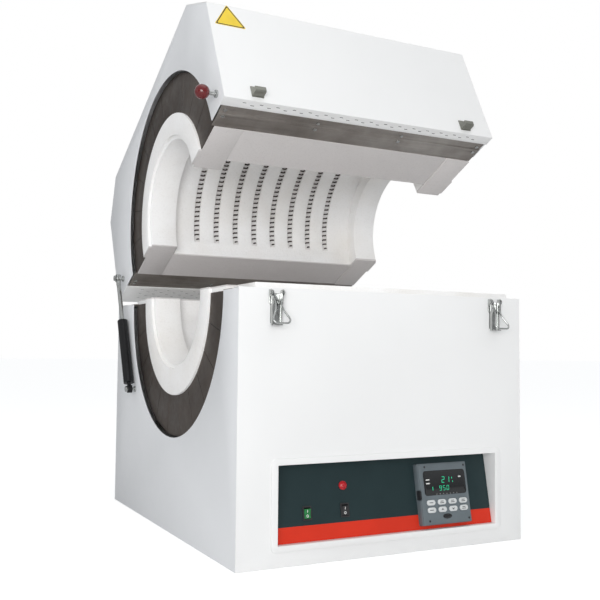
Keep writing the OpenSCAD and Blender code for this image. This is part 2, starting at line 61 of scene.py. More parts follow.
class Shader:
    """A node material with one Principled shader, and short ways to feed it."""

    def __init__(self, name, color, rough, metal=0.0, **sockets):
        self.mat = bpy.data.materials.new(name)
        self.mat.use_nodes = True
        self.tree = self.mat.node_tree
        self.bsdf = self.tree.nodes["Principled BSDF"]
        self.coord = self.tree.nodes.new("ShaderNodeTexCoord").outputs["Object"]
        self.bsdf.inputs["Base Color"].default_value = (*color, 1)
        self.bsdf.inputs["Roughness"].default_value = rough
        self.bsdf.inputs["Metallic"].default_value = metal
        for key, value in sockets.items():
            self.bsdf.inputs[key.replace("_", " ")].default_value = value
        self.mat.diffuse_color = (*color, 1)

    def node(self, kind, **settings):
        made = self.tree.nodes.new(kind)
        for key, value in settings.items():
            setattr(made, key, value)
        return made

    def link(self, a, b):
        self.tree.links.new(a, b)

    def stretched(self, scale):
        """Object coordinates multiplied by a vector, for grain with a direction."""
        mapping = self.node("ShaderNodeMapping")
        mapping.inputs["Scale"].default_value = scale
        self.link(self.coord, mapping.inputs["Vector"])
        return mapping.outputs["Vector"]

    def noise(self, scale, detail=4.0, rough=0.5, vector=None):
        made = self.node("ShaderNodeTexNoise")
        made.inputs["Scale"].default_value = scale
        made.inputs["Detail"].default_value = detail
        made.inputs["Roughness"].default_value = rough
        self.link(vector or self.coord, made.inputs["Vector"])
        return made.outputs["Fac"]

    def ramp(self, fac, stops):
        made = self.node("ShaderNodeValToRGB")
        parts = made.color_ramp.elements
        while len(parts) < len(stops):
            parts.new(0.5)
        for part, (at, color) in zip(parts, stops):
            part.position = at
            part.color = (*color, 1)
        self.link(fac, made.inputs["Fac"])
        return made.outputs["Color"]

    def spread(self, fac, low, high, a=0.3, b=0.7):
        """fac between a and b becomes a number between low and high."""
        made = self.node("ShaderNodeMapRange")
        for key, value in (("From Min", a), ("From Max", b), ("To Min", low), ("To Max", high)):
            made.inputs[key].default_value = value
        self.link(fac, made.inputs["Value"])
        return made.outputs["Result"]

    def mix(self, fac, a, b, blend="MIX"):
        made = self.node("ShaderNodeMix", data_type="RGBA", blend_type=blend)
        for value, socket in ((fac, 0), (a, 6), (b, 7)):
            if isinstance(value, (int, float)):
                made.inputs[socket].default_value = value
            elif isinstance(value, tuple):
                made.inputs[socket].default_value = (*value, 1)
            else:
                self.link(value, made.inputs[socket])
        return made.outputs[2]

    def math(self, operation, a, b=0.0):
        made = self.node("ShaderNodeMath", operation=operation)
        for value, socket in ((a, 0), (b, 1)):
            if isinstance(value, (int, float)):
                made.inputs[socket].default_value = value
            else:
                self.link(value, made.inputs[socket])
        return made.outputs[0]

    def axis(self, name):
        made = self.node("ShaderNodeSeparateXYZ")
        self.link(self.coord, made.inputs[0])
        return made.outputs[name]

    def color(self, source):
        self.link(source, self.bsdf.inputs["Base Color"])
        return self

    def rough(self, source):
        self.link(source, self.bsdf.inputs["Roughness"])
        return self

    def bump(self, *layers):
        """Layers of (height, depth in metres), one bump on the next."""
        normal = None
        for height, depth in layers:
            made = self.node("ShaderNodeBump")
            made.inputs["Distance"].default_value = depth
            self.link(height, made.inputs["Height"])
            if normal:
                self.link(normal, made.inputs["Normal"])
            normal = made.outputs["Normal"]
        self.link(normal, self.bsdf.inputs["Normal"])
        return self


def powder_coat(name, color):
    s = Shader(name, color, 0.42, Coat_Weight=0.12, Coat_Roughness=0.3)
    patch = s.noise(3.5, 3)
    dark = tuple(c * 0.965 for c in color)
    s.color(s.ramp(patch, [(0.3, dark), (0.7, color)]))
    s.rough(s.spread(s.noise(40, 4), 0.36, 0.5))
    return s.bump((s.noise(650, 2), 0.00012)).mat


def tinted_steel(name, dark, mid, light, grain):
    s = Shader(name, mid, 0.45, 0.9)
    lines = s.noise(9, 5, 0.65, s.stretched(grain))
    patch = s.noise(7, 5, 0.6)
    tint = s.ramp(patch, [(0.25, dark), (0.5, mid), (0.75, light)])
    streak = s.ramp(lines, [(0.3, (0.72, 0.72, 0.72)), (0.7, (1.0, 1.0, 1.0))])
    s.color(s.mix(0.8, tint, streak, "MULTIPLY"))
    s.rough(s.spread(lines, 0.36, 0.58))
    return s.bump((lines, 0.00015)).mat


def plated(name, color, rough):
    s = Shader(name, color, rough, 1.0)
    patch = s.noise(120, 4)
    s.color(s.ramp(patch, [(0.3, tuple(c * 0.82 for c in color)), (0.7, color)]))
    s.rough(s.spread(patch, rough * 0.8, rough * 1.6))
    return s.bump((s.noise(900, 2), 0.00003)).mat


def fibre_board(name, color, pits, seam=None):
    """Vacuum-formed fibre; seam is (unit normal, distance) of the sawn face, which is greyer."""
    s = Shader(name, color, 0.93, Sheen_Weight=0.15, Sheen_Roughness=0.6)
    broad = s.noise(9, 4, 0.55)
    fine = s.noise(260, 6, 0.7)
    lumps = s.noise(70, 5, 0.6)
    warm = (color[0] * 0.93, color[1] * 0.915, color[2] * 0.89)
    base = s.ramp(broad, [(0.3, warm), (0.62, color)])
    speck = s.ramp(fine, [(0.3, (0.86, 0.85, 0.84)), (0.48, (1.0, 1.0, 1.0))])
    tone = s.mix(0.5, base, speck, "MULTIPLY")
    if seam:
        dot = s.node("ShaderNodeVectorMath", operation="DOT_PRODUCT")
        dot.inputs[1].default_value = seam[0]
        s.link(s.coord, dot.inputs[0])
        off = s.math("ABSOLUTE", s.math("SUBTRACT", dot.outputs["Value"], seam[1]))
        sawn = s.spread(off, 0.9, 0.0, 0.0022, 0.0032)
        tone = s.mix(sawn, tone, s.mix(0.6, (0.6, 0.57, 0.56), speck, "MULTIPLY"))
    s.color(tone)
    s.rough(s.spread(lumps, 0.88, 0.98))
    return s.bump((lumps, pits), (fine, 0.0005)).mat


def moulded(name, color, rough, grain=700, depth=0.00006, **sockets):
    s = Shader(name, color, rough, **sockets)
    patch = s.noise(30, 4)
    s.color(s.ramp(patch, [(0.3, tuple(c * 0.88 for c in color)), (0.7, color)]))
    s.rough(s.spread(s.noise(90, 4), rough * 0.85, min(1, rough * 1.2)))
    return s.bump((s.noise(grain, 3), depth)).mat


WHITE = powder_coat("white_powder_coat", (0.86, 0.86, 0.855))
# Painted shade: a darker, bluer copy of the same white powder coat for the side panels and the floor
# plate, with their shade and cool light painted into its colour.
SHADED_SIDE_COAT = powder_coat("side_coat_painted_shade", (0.80, 0.81, 0.825))
STRIP = tinted_steel(
    "heat_tinted_strip", (0.21, 0.185, 0.165), (0.36, 0.33, 0.305), (0.56, 0.53, 0.5), (1, 22, 22)
)
RING = tinted_steel(
    "heat_tinted_ring", (0.075, 0.06, 0.051), (0.115, 0.094, 0.08), (0.165, 0.138, 0.12), (1, 5, 5)
)
STEEL = tinted_steel(
    "plain_steel", (0.4, 0.39, 0.38), (0.5, 0.5, 0.49), (0.58, 0.58, 0.57), (1, 14, 14)
)
BRIGHT = plated("bright_plating", (0.5, 0.51, 0.5), 0.17)
# Keeper plating: a duller finish with roughness 0.34, and a darker olive-grey colour that is painted
# shade.
DULL_SHADED = plated("dull_plating_painted_shade", (0.3, 0.3, 0.265), 0.34)
UP = Vector((0, 0, 1))
LID_UP = OPENED.to_3x3() @ UP
LID_SEAM = (LID_UP, LID_UP.dot(OPENED @ AXIS))
BASE_SEAM = (UP, AXIS.z)
FIBRE_COLOR = (0.93, 0.922, 0.915)
BEDDING = fibre_board("coil_bedding_fibre", (0.8, 0.78, 0.77), 0.0008)
ALLOY = plated("bare_aluminium", (0.7, 0.7, 0.71), 0.38)
BLACK = moulded("black_plastic", (0.022, 0.022, 0.024), 0.42)
GREY = moulded("controller_plastic", (0.135, 0.163, 0.178), 0.48, 500, 0.0001)
KEYS = moulded("key_plastic", (0.66, 0.68, 0.68), 0.4)
INK = moulded("dark_ink", (0.03, 0.032, 0.035), 0.6)
PALE_INK = moulded("pale_ink", (0.78, 0.78, 0.76), 0.55)
CYLINDER = moulded(
    "cylinder_enamel", (0.008, 0.008, 0.009), 0.32, 300, 0.00003, Specular_IOR_Level=0.3
)
KNOB = moulded("knob_resin", (0.14, 0.006, 0.008), 0.16, 200, 0.00002, Coat_Weight=0.3)
# Painted shade: a near-black fill set into the vent slots and ring joints, standing for the shade in
# those gaps.
GAP_SHADE = moulded("painted_gap_shade", (0.012, 0.011, 0.01), 0.7, 300, 0.00005)
YELLOW = moulded("label_yellow", (0.86, 0.62, 0.03), 0.45)


def coil_metal():
    s = Shader("oxidised_coil_wire", (0.07, 0.058, 0.052), 0.6, 0.6)
    patch = s.noise(160, 5)
    s.color(s.ramp(patch, [(0.3, (0.035, 0.028, 0.026)), (0.7, (0.11, 0.088, 0.078))]))
    s.rough(s.spread(patch, 0.45, 0.75))
    return s.bump((s.noise(700, 3), 0.0001)).mat


def panel_print():
    """A dark printed plate with a red band along its lower edge."""
    s = Shader("printed_panel", (0.017, 0.034, 0.037), 0.42, Specular_IOR_Level=0.25)
    band_width = 24.5
    band_top = (PANEL_FOOT_Z + band_width * math.cos(TILT)) * MM
    band = s.math("LESS_THAN", s.axis("Z"), band_top)
    print_color = s.mix(band, (0.017, 0.034, 0.037), (0.66, 0.035, 0.014))
    mottle = s.ramp(s.noise(25, 4), [(0.3, (0.88, 0.88, 0.88)), (0.7, (1.0, 1.0, 1.0))])
    s.color(s.mix(0.7, print_color, mottle, "MULTIPLY"))
    s.rough(s.spread(s.noise(60, 3), 0.33, 0.45))
    return s.bump((s.noise(900, 2), 0.00005)).mat


def lit(name, color, glow, strength):
    rough = 0.25
    s = Shader(name, color, rough, Coat_Weight=0.4)
    s.bsdf.inputs["Emission Color"].default_value = (*glow, 1)
    s.bsdf.inputs["Emission Strength"].default_value = strength
    patch = s.noise(220, 3)
    s.color(s.ramp(patch, [(0.3, tuple(c * 0.7 for c in color)), (0.7, color)]))
    s.rough(s.spread(patch, rough * 0.8, rough * 1.4))
    return s.bump((s.noise(500, 2), 0.00006)).mat


COIL = coil_metal()
PANEL = panel_print()
LAMP = lit("lamp_lens", (0.5, 0.004, 0.012), (0.9, 0.02, 0.03), 0.04)
GREEN = lit("lit_green_rocker", (0.004, 0.13, 0.03), (0.02, 0.8, 0.16), 0.07)
DIGITS = lit("display_digits", (0.02, 0.4, 0.2), (0.03, 0.85, 0.42), 0.5)
SCREEN = moulded("display_window", (0.006, 0.007, 0.008), 0.12, 100, 0.00001, Coat_Weight=0.6)


# ---- Dressing the CAD nodes ----


def smooth_by_angle():
    """Node group that shades smooth except across edges sharper than 32 degrees."""
    group = bpy.data.node_groups.new("smooth_by_angle", "GeometryNodeTree")
    group.interface.new_socket("Geometry", in_out="INPUT", socket_type="NodeSocketGeometry")
    group.interface.new_socket("Geometry", in_out="OUTPUT", socket_type="NodeSocketGeometry")
    start = group.nodes.new("NodeGroupInput")
    end = group.nodes.new("NodeGroupOutput")
    faces = group.nodes.new("GeometryNodeSetShadeSmooth")
    edges = group.nodes.new("GeometryNodeSetShadeSmooth")
    edges.domain = "EDGE"
    edges.inputs["Shade Smooth"].default_value = False
    angle = group.nodes.new("GeometryNodeInputMeshEdgeAngle")
    sharp = group.nodes.new("FunctionNodeCompare")
    sharp.operation = "GREATER_THAN"
    sharp.inputs[1].default_value = math.radians(32)
    group.links.new(angle.outputs["Unsigned Angle"], sharp.inputs[0])
    group.links.new(start.outputs[0], faces.inputs["Geometry"])
    group.links.new(faces.outputs[0], edges.inputs["Geometry"])
    group.links.new(sharp.outputs[0], edges.inputs["Selection"])
    group.links.new(edges.outputs[0], end.inputs[0])
    return group


SMOOTH = smooth_by_angle()


def finish_shape(obj, bevel=0.0, segments=2, weld=True):
    """Joins split corners, rounds sharp edges and sets the shading."""
    custom = obj.data.attributes.get("custom_normal")
    if custom:
        obj.data.attributes.remove(custom)
    if weld:
        obj.modifiers.new("weld", "WELD").merge_threshold = 2e-6
    if bevel:
        made = obj.modifiers.new("bevel", "BEVEL")
        made.width = bevel * MM
        made.segments = segments
        made.limit_method = "ANGLE"
        made.angle_limit = math.radians(38)
    obj.modifiers.new("smooth", "NODES").node_group = SMOOTH
    return obj


def dress(names, mat, bevel=0.0, segments=2):
    for name in names.split():
        obj = nodes[name]
        obj.data.materials.clear()
        obj.data.materials.append(mat)
        finish_shape(obj, bevel, segments)


dress("base_front_panel base_rear_panel lid_cover panel_trim", WHITE, 0.7)
# The side panels and floor plate get the white coat with painted shade in its colour.
dress("base_left_panel base_right_panel lid_left_panel lid_right_panel base_floor", SHADED_SIDE_COAT, 0.6)
dress("hinge_base_leaves hinge_lid_leaves", WHITE, 0.4)
dress("base_seal_strips lid_seal_strips", STRIP, 0.3)
dress("base_end_rings lid_end_rings", RING, 0.3)
dress("heat_shield base_inner_casing lid_inner_casing thermocouple", STEEL)
dress("base_fibre_shell", fibre_board("base_fibre", FIBRE_COLOR, 0.0013, BASE_SEAM), 1.0)
dress("lid_fibre_shell", fibre_board("lid_fibre", FIBRE_COLOR, 0.0013, LID_SEAM), 1.0)
dress("base_fibre_collars", fibre_board("base_collar_fibre", FIBRE_COLOR, 0.0009, BASE_SEAM), 1.2)
dress("lid_fibre_collars", fibre_board("lid_collar_fibre", FIBRE_COLOR, 0.0009, LID_SEAM), 1.2)
dress("base_gaskets", fibre_board("gasket_fibre", FIBRE_COLOR, 0.0013), 1.5)
dress("control_panel", PANEL)
dress("controller_housing", GREY, 0.7)
dress("controller_display", SCREEN, 0.3)
dress(" ".join(f"controller_key_{i}" for i in range(1, 9)), KEYS, 0.5)
dress("indicator_lamp", LAMP, 0.4)
dress("switch_frames cable_gland power_relay", BLACK, 0.4)
dress("rocker_power", GREEN, 0.5)
dress("rocker_heating", BLACK, 0.5)
dress("relay_heatsink", ALLOY, 0.4)
dress("base_ball_studs lid_ball_studs", BRIGHT, 1.2, 3)
dress("hinge_pins knob_stem lid_strip_screws", BRIGHT, 0.3)
# The keepers get plating with painted shade in its colour.
dress("lid_keepers", DULL_SHADED, 0.5)
dress("latch_plates latch_lever_left latch_lever_right", BRIGHT, 0.3)
dress("gas_rod_left gas_rod_right", BRIGHT, 0.5)
dress("gas_cylinder_left gas_cylinder_right", CYLINDER, 1.2, 3)
dress("knob_ball", KNOB, 0.8, 3)


# ---- Building pieces ----


def piece(name, verts, faces, mat, body, slot, place=REST, bevel=0.0, replaces=()):
    mesh = bpy.data.meshes.new(name)
    mesh.from_pydata([place @ Vector(v) for v in verts], [], faces)
    mesh.validate()
    work = bmesh.new()
    work.from_mesh(mesh)
    bmesh.ops.recalc_face_normals(work, faces=work.faces)
    work.to_mesh(mesh)
    work.free()
    obj = bpy.data.objects.new(name, mesh)
    bpy.context.scene.collection.objects.link(obj)
    mesh.materials.append(mat)
    finish_shape(obj, bevel, weld=False)
    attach(obj, body)
    if replaces:
        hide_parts(*replaces)
    return obj


def tube(path, radius, sides=10):
    """Vertices and faces of a closed round wire along a path of points."""
    path = [Vector(p) for p in path]
    verts, faces = [], []
    last_normal = None
    for i, p in enumerate(path):
        ahead = path[min(i + 1, len(path) - 1)] - path[max(i - 1, 0)]
        ahead.normalize()
        if last_normal is None:
            side = Vector((1, 0, 0)) if abs(ahead.x) < 0.9 else Vector((0, 1, 0))
            normal = ahead.cross(side).normalized()
        else:
            normal = (last_normal - ahead * last_normal.dot(ahead)).normalized()
        other = ahead.cross(normal)
        last_normal = normal
        for k in range(sides):
            a = 2 * math.pi * k / sides
            verts.append(p + radius * (math.cos(a) * normal + math.sin(a) * other))
    for i in range(len(path) - 1):
        for k in range(sides):
            a, b = i * sides + k, i * sides + (k + 1) % sides
            faces.append((a, b, b + sides, a + sides))
    faces.append(tuple(range(sides))[::-1])
    faces.append(tuple(range(len(verts) - sides, len(verts))))
    return verts, faces


def filleted(points, radius, steps=6):
    """A path through corners that are rounded with arcs of about that radius."""
    points = [Vector(p) for p in points]
    out = [points[0]]
    for before, corner, after in zip(points, points[1:], points[2:]):
        a, b = (before - corner), (after - corner)
        reach = min(radius, a.length * 0.48, b.length * 0.48)
        a, b = corner + a.normalized() * reach, corner + b.normalized() * reach
        for i in range(steps + 1):
            t = i / steps
            out.append(a * (1 - t) ** 2 + corner * 2 * t * (1 - t) + b * t**2)
    out.append(points[-1])
    return out


def prism(outline, y0, y1):
    """A plate with an (x, z) outline, from depth y0 to y1."""
    n = len(outline)
    verts = [(x, y, z) for y in (y0, y1) for x, z in outline]
    faces = [tuple(range(n)), tuple(range(2 * n - 1, n - 1, -1))]
    faces += [(i, (i + 1) % n, n + (i + 1) % n, n + i) for i in range(n)]
    return verts, faces


def frame_plate(outer, inner, y0, y1):
    """A flat ring between two outlines with the same number of points."""
    n = len(outer)
    verts = [(x, y, z) for y in (y0, y1) for x, z in outer + inner]
    faces = []
    for i in range(n):
        j = (i + 1) % n
        faces += [
            (i, j, n + j, n + i),
            (2 * n + i, 3 * n + i, 3 * n + j, 2 * n + j),
            (i, 2 * n + i, 2 * n + j, j),
            (n + i, n + j, 3 * n + j, 3 * n + i),
        ]
    return verts, faces


def joined(parts):
    verts, faces = [], []
    for v, f in parts:
        faces += [tuple(i + len(verts) for i in face) for face in f]
        verts += list(v)
    return verts, faces


def scaled(part, k=MM):
    return [tuple(c * k for c in v) for v in part[0]], part[1]


def round_outline(cx, cz, w, h, r, steps=6):
    out = []
    for sx, sz, a0 in ((1, 1, 0), (-1, 1, 90), (-1, -1, 180), (1, -1, 270)):
        for i in range(steps + 1):
            a = math.radians(a0 + 90 * i / steps)
            out.append((cx + sx * (w / 2 - r) + r * math.cos(a), cz + sz * (h / 2 - r) + r * math.sin(a)))
    return out


# ---- Heating coils: wound wire lying in the grooves, in millimetres ----

COILS = 8
COIL_PITCH = 44.5


def coil_places():
    return [(i - (COILS - 1) / 2) * COIL_PITCH for i in range(COILS)]


def coil_path(x):
    """An oval winding round a half circle of the chamber, with a lead into the fibre at each end."""
    ring, deep, wide, pitch = 163.4, 2.9, 4.4, 10.0
    first, last = math.radians(14.2), math.radians(165.8)
    turns = round((last - first) * ring / pitch)
    per_turn = 14
    path = []
    for i in range(turns * per_turn + 1):
        phi = 2 * math.pi * i / per_turn
        along = (phi - 0.85 * math.sin(phi)) / (2 * math.pi) / turns
        angle = first + (last - first) * along
        r = ring - deep * math.cos(phi)
        path.append((x + wide * math.sin(phi), r * math.cos(angle), r * math.sin(angle)))
    for end in (0, -1):
        x_end, y_end, z_end = path[end]
        out = 1.0 + 9.0 / math.hypot(y_end, z_end)
        lead = (x_end, y_end * out, z_end * out)
        path = [lead] + path if end == 0 else path + [lead]
    return path


def coils(name, node, body, up, place):
    wire_r, wire_sides = 1.55, 7
    parts = []
    for place_x in coil_places():
        path = [(x, AXIS_Y + y, AXIS_Z + up * z) for x, y, z in coil_path(place_x)]
        parts.append(tube(path, wire_r, wire_sides))
    verts, faces = scaled(joined(parts))
    piece(name, verts, faces, COIL, body, "coil_wire", place, replaces=(node,))


def bedding(name, body, up, place, mat):
    """Bands of fibre that fill each groove up to the middle of the coil lying in it."""
    steps, end_angle, parts = 60, 12.3, []
    for x0 in coil_places():
        profile = [(-6.4, 161.3), (-5.4, 162.6), (-3, 163.6), (0, 163.9), (3, 163.6),
                   (5.4, 162.6), (6.4, 161.3), (6.4, 167.5), (-6.4, 167.5)]
        n, verts, faces = len(profile), [], []
        for k in range(steps + 1):
            a = math.radians(end_angle + (180 - 2 * end_angle) * k / steps)
            verts += [(x0 + dx, AXIS_Y + r * math.cos(a), AXIS_Z + up * r * math.sin(a))
                      for dx, r in profile]
        for k in range(steps):
            for j in range(n):
                b, c = k * n + j, k * n + (j + 1) % n
                faces.append((b, c, c + n, b + n))
        faces += [tuple(range(n)), tuple(range(steps * n, steps * n + n))]
        parts.append((verts, faces))
    piece(name, *scaled(joined(parts)), mat, body, "fibre", place)


coils("base_coil_windings", "base_heating_coils", "base", -1, REST)
coils("lid_coil_windings", "lid_heating_coils", "lid", 1, OPENED)
bedding("base_coil_bedding", "base", -1, REST, BEDDING)
bedding("lid_coil_bedding", "lid", 1, OPENED, BEDDING)


# ---- Painted shade: dark fillings in the vent slots and in the joints between ring segments ----

SLOT_PITCH, SLOT_COLUMNS = 30.5, 16
SLOT_W, SLOT_H = 6.5, 1.6
RING_INNER, RING_OUTER = 181.5, 254.5
RING_SEGMENTS = 11
JOINT_W, JOINT_DEPTH = 1.1, 1.1
JOINT_PLACES = (-266.5, 270.7)


def vent_depths(y0, width, rows, row_pitch, z0, z1):
    """Dark fillings of painted shade, a little below the surface, in a flange's staggered slots."""
    parts = []
    for row in range(rows):
        y = y0 + (width - (rows - 1) * row_pitch) / 2 + row * row_pitch
        for i in range(SLOT_COLUMNS):
            x = (i - (SLOT_COLUMNS - 1) / 2 + (row % 2) / 2 - 0.25) * SLOT_PITCH
            x0, x1 = x - SLOT_W / 2, x + SLOT_W / 2
            slot = [(x0, z0), (x1, z0), (x1, z1), (x0, z1)]
            parts.append(prism(slot, y - SLOT_H / 2, y + SLOT_H / 2))
    return parts


def ring_joint(x, angle, side, edge):
    """A dark filling of painted shade in the joint at one angle of an end ring, as a bar across the ring.
    """
    corners = [(r, half) for r, half in (
        (RING_INNER, -JOINT_W / 2), (RING_OUTER, -JOINT_W / 2),
        (RING_OUTER, JOINT_W / 2), (RING_INNER, JOINT_W / 2),
    )]
    ends = [
        (AXIS_Y + r * math.cos(angle) - half * math.sin(angle),
         edge + side * (r * math.sin(angle) + half * math.cos(angle)))
        for r, half in corners
    ]
    verts = [(px, y, z) for px in (x, x + JOINT_DEPTH) for y, z in ends]
    faces = [(0, 1, 2, 3), (7, 6, 5, 4)]
    faces += [(k, (k + 1) % 4, 4 + (k + 1) % 4, 4 + k) for k in range(4)]
    return verts, faces


for body, side, edge, place in (("base", -1, BASE_EDGE, REST), ("lid", 1, LID_EDGE, OPENED)):
    z0, z1 = sorted((edge + side * 0.5, edge + side * 1.9))
    vents = vent_depths(FRONT, 21, 2, 4.5, z0, z1) + vent_depths(277.5, 70, 6, 9, z0, z1)
    piece(f"{body}_vent_depths", *scaled(joined(vents)), GAP_SHADE, body, "black_paint", place)
    joints = [
        ring_joint(x, math.radians(180 * i / RING_SEGMENTS), side, edge)
        for x in JOINT_PLACES
        for i in range(1, RING_SEGMENTS)
    ]
    # The ring-joint fillings are painted shade of the gaps, not tinted steel.
    piece(f"{body}_ring_joints", *scaled(joined(joints)), GAP_SHADE, body, "tinted_steel", place)


# ---- Latch bails: bent round wire ----

BAIL_LEAN = -27
BAIL_X, BAIL_Y, BAIL_Z = 214, -356.5, 410
BAIL_WIRE_R, BAIL_BEND_R = 1.5, 5.5

for side, sign in (("left", -1), ("right", 1)):
    half = [(9.2, 0, 0), (5.1, 0, 0), (5.1, 0, -15), (15.0, 0, -35), (11.0, 0, -41)]
    corners = half + [(-x, y, z) for x, y, z in reversed(half)]
    lean = Matrix.Rotation(math.radians(BAIL_LEAN), 4, "X")
    at = Matrix.Translation(Vector((sign * BAIL_X, BAIL_Y, BAIL_Z)) * MM)
    verts, faces = scaled(tube(filleted(corners, BAIL_BEND_R), BAIL_WIRE_R, 12))
    piece(f"latch_bail_wire_{side}", verts, faces, BRIGHT, f"latch_bail_{side}", "bright_steel",
          at @ lean, replaces=(f"latch_bail_{side}",))


# ---- Controller: digits, marks, screws and the sensor window ----

CONTROLLER = ON_PANEL @ Matrix.Translation(Vector((109, 0, 56.8)) * MM)
FACE_Y = -13.0
SEGMENTS = {"0": "abcdef", "1": "bc", "2": "abged", "5": "afgcd", "9": "abcdfg"}


def digit(char, x, z, w, h, t):
    """Seven-segment strokes in the display's own plane."""
    m = h / 2
    bars = {
        "a": (0, m, w, t), "g": (0, 0, w, t), "d": (0, -m, w, t),
        "b": (w / 2, m / 2, t, m), "c": (w / 2, -m / 2, t, m),
        "f": (-w / 2, m / 2, t, m), "e": (-w / 2, -m / 2, t, m),
    }
    slant = 0.08
    out = []
    for key in SEGMENTS[char]:
        bx, bz, bw, bh = bars[key]
        bw, bh = max(bw - 0.5, t), max(bh - 0.5, t)
        outline = [
            (x + bx + dx * bw / 2 + slant * (bz + dz * bh / 2), z + bz + dz * bh / 2)
            for dx, dz in ((-1, -1), (1, -1), (1, 1), (-1, 1))
        ]
        out.append(prism(outline, FACE_Y + 0.12, FACE_Y + 0.35))
    return out


strokes = []
for i, char in enumerate("21"):
    strokes += digit(char, -1 + i * 10, 22.4, 5.0, 9.4, 0.9)
for i, char in enumerate("950"):
    strokes += digit(char, -8 + i * 7.6, 8.6, 4.0, 7.4, 0.7)
for dx, dz, h in ((17.5, 24.5, 3.0), (18.8, 18.5, 2.6), (-24, 8.5, 6.0)):
    strokes.append(prism(round_outline(dx, dz, 1.0, h, 0.4, 2), FACE_Y + 0.12, FACE_Y + 0.35))
piece("display_digits", *scaled(joined(strokes)), DIGITS, "base", "display_window", CONTROLLER)

ticks = [prism(round_outline(x, z, w, 2.0, 0.4, 2), FACE_Y + 0.12, FACE_Y + 0.32)
         for x, z, w in ((-33, 23.5, 7.5), (-33, 17.5, 7.5), (34, 26, 5.5))]
for i in range(7):
    tick = round_outline(-17 + i * 7, -0.9, 0.7, 1.1, 0.25, 1)
    ticks.append(prism(tick, FACE_Y + 0.12, FACE_Y + 0.3))
piece("display_marks", *scaled(joined(ticks)), PALE_INK, "base", "display_window", CONTROLLER)


def key_mark(i):
    """The printed mark of one key: an arrow on the sixth and seventh, bars on the others."""
    x, z = -31.2 + 22.3 * (i % 4), (-14.4 if i < 4 else -26.7)
    y0, y1 = FACE_Y - 0.96, FACE_Y - 0.86
    if i == 5:
        return [prism([(x - 3.2, z - 1.6), (x, z + 2.2), (x + 3.2, z - 1.6), (x, z - 0.2)], y0, y1)]
    if i == 6:
        return [prism([(x - 3.2, z + 1.6), (x, z + 0.2), (x + 3.2, z + 1.6), (x, z - 2.2)], y0, y1)]
    rows = 2 if i in (1, 2, 3, 7) else 1
    return [
        prism(round_outline(x, z + (r - (rows - 1) / 2) * 2.6, 8.0 - 1.6 * r, 1.1, 0.4, 2), y0, y1)
        for r in range(rows)
    ]


for i in range(8):
    piece(f"key_mark_{i + 1}", *scaled(joined(key_mark(i))), INK, f"controller_key_{i + 1}",
          "key_plastic", CONTROLLER)

oval_points = 32
turns = [2 * math.pi * i / oval_points for i in range(oval_points)]
oval = [(9.2 * math.cos(a), -38.2 + 4.2 * math.sin(a)) for a in turns]
sensor = prism(oval, FACE_Y - 0.4, FACE_Y + 1)
piece("sensor_window", *scaled(sensor), SCREEN, "base", "display_window", CONTROLLER, 0.3)


def screw_head(x, z, r, y, height):
    """A domed head with a straight slot."""
    rings, n = 5, 24
    verts, faces = [(x, y - height, z)], []
    for j in range(1, rings + 1):
        a = math.radians(90 * j / rings)
        for k in range(n):
            b = 2 * math.pi * k / n
            dx, dz = r * math.sin(a) * math.cos(b), r * math.sin(a) * math.sin(b)
            cut = 0.45 if abs(dz) < r * 0.16 and math.hypot(dx, dz) < r * 0.95 else 0.0
            verts.append((x + dx, y - height * math.cos(a) + cut * height, z + dz))
    faces += [(0, 1 + k, 1 + (k + 1) % n) for k in range(n)]
    for j in range(rings - 1):
        for k in range(n):
            a, b = 1 + j * n + k, 1 + j * n + (k + 1) % n
            faces.append((a, a + n, b + n, b))
    faces.append(tuple(1 + (rings - 1) * n + k for k in range(n)))
    return verts, faces


heads = [screw_head(x, z, 1.9, FACE_Y, 0.5) for x in (-37, 45) for z in (-44.5, 45)]
piece("controller_screws", *scaled(joined(heads)), BLACK, "base", "black_plastic", CONTROLLER)

# A black filling set into the notch on the housing's left side.
notch_fill = [(-50.6, -8.6), (-48.4, -7.2), (-48.4, 5.2), (-50.6, 6.6)]
piece("controller_notch_fill", *scaled(prism(notch_fill, FACE_Y + 0.6, -1.2)), BLACK, "base", "black_plastic",
      CONTROLLER, 0.3)


# ---- Rocker marks ----


def rocker_place(x):
    return (ON_PANEL @ Matrix.Translation(Vector((x, 1.5, 43)) * MM)
            @ Matrix.Rotation(math.radians(8), 4, "X"))


def on_rocker_face(up):
    """The plane of a rocker's upper or lower face, with the middle of that face as origin."""
    lean = math.atan(1.4 / 7.4) * up
    return Matrix.Translation(Vector((0, -3.9, 3.7 * up)) * MM) @ Matrix.Rotation(lean, 4, "X")


bar = prism(round_outline(0, 0, 0.9, 4.2, 0.3, 2), -0.12, 0.3)
ring = frame_plate(
    round_outline(0, 0, 3.8, 4.4, 1.8), round_outline(0, 0, 2.2, 2.8, 1.0), -0.12, 0.3
)
for name, x in (("heating", -83), ("power", -151.5)):
    for mark, shape, up in (("bar", bar, 1), ("ring", ring, -1)):
        piece(f"rocker_{name}_{mark}_mark", *scaled(shape), PALE_INK, f"rocker_{name}",
              "key_plastic", rocker_place(x) @ on_rocker_face(up))


# ---- A plain yellow triangle on the lid's front ----


def triangle(size, r):
    """A rounded triangle with one corner up, as (x, z) points round its centre."""
    steps, out = 5, []
    for corner in (90, 210, 330):
        reach = size / math.sqrt(3) - 2 * r
        cx, cy = reach * math.cos(math.radians(corner)), reach * math.sin(math.radians(corner))
        for i in range(steps + 1):
            a = math.radians(corner - 60 + 120 * i / steps)
            out.append((cx + r * math.cos(a), cy + r * math.sin(a)))
    return out


LABEL = OPENED @ Matrix.Translation(Vector((-237.5, FRONT, 617.5)) * MM)
piece("lid_label", *scaled(prism(triangle(59, 2), -0.25, 0.1)), YELLOW, "lid", "white_paint", LABEL)
piece("lid_label_border", *scaled(frame_plate(triangle(55, 1.6), triangle(49, 1.2), -0.4, -0.1)),
      INK, "lid", "white_paint", LABEL)


# ---- Stage, light and camera ----


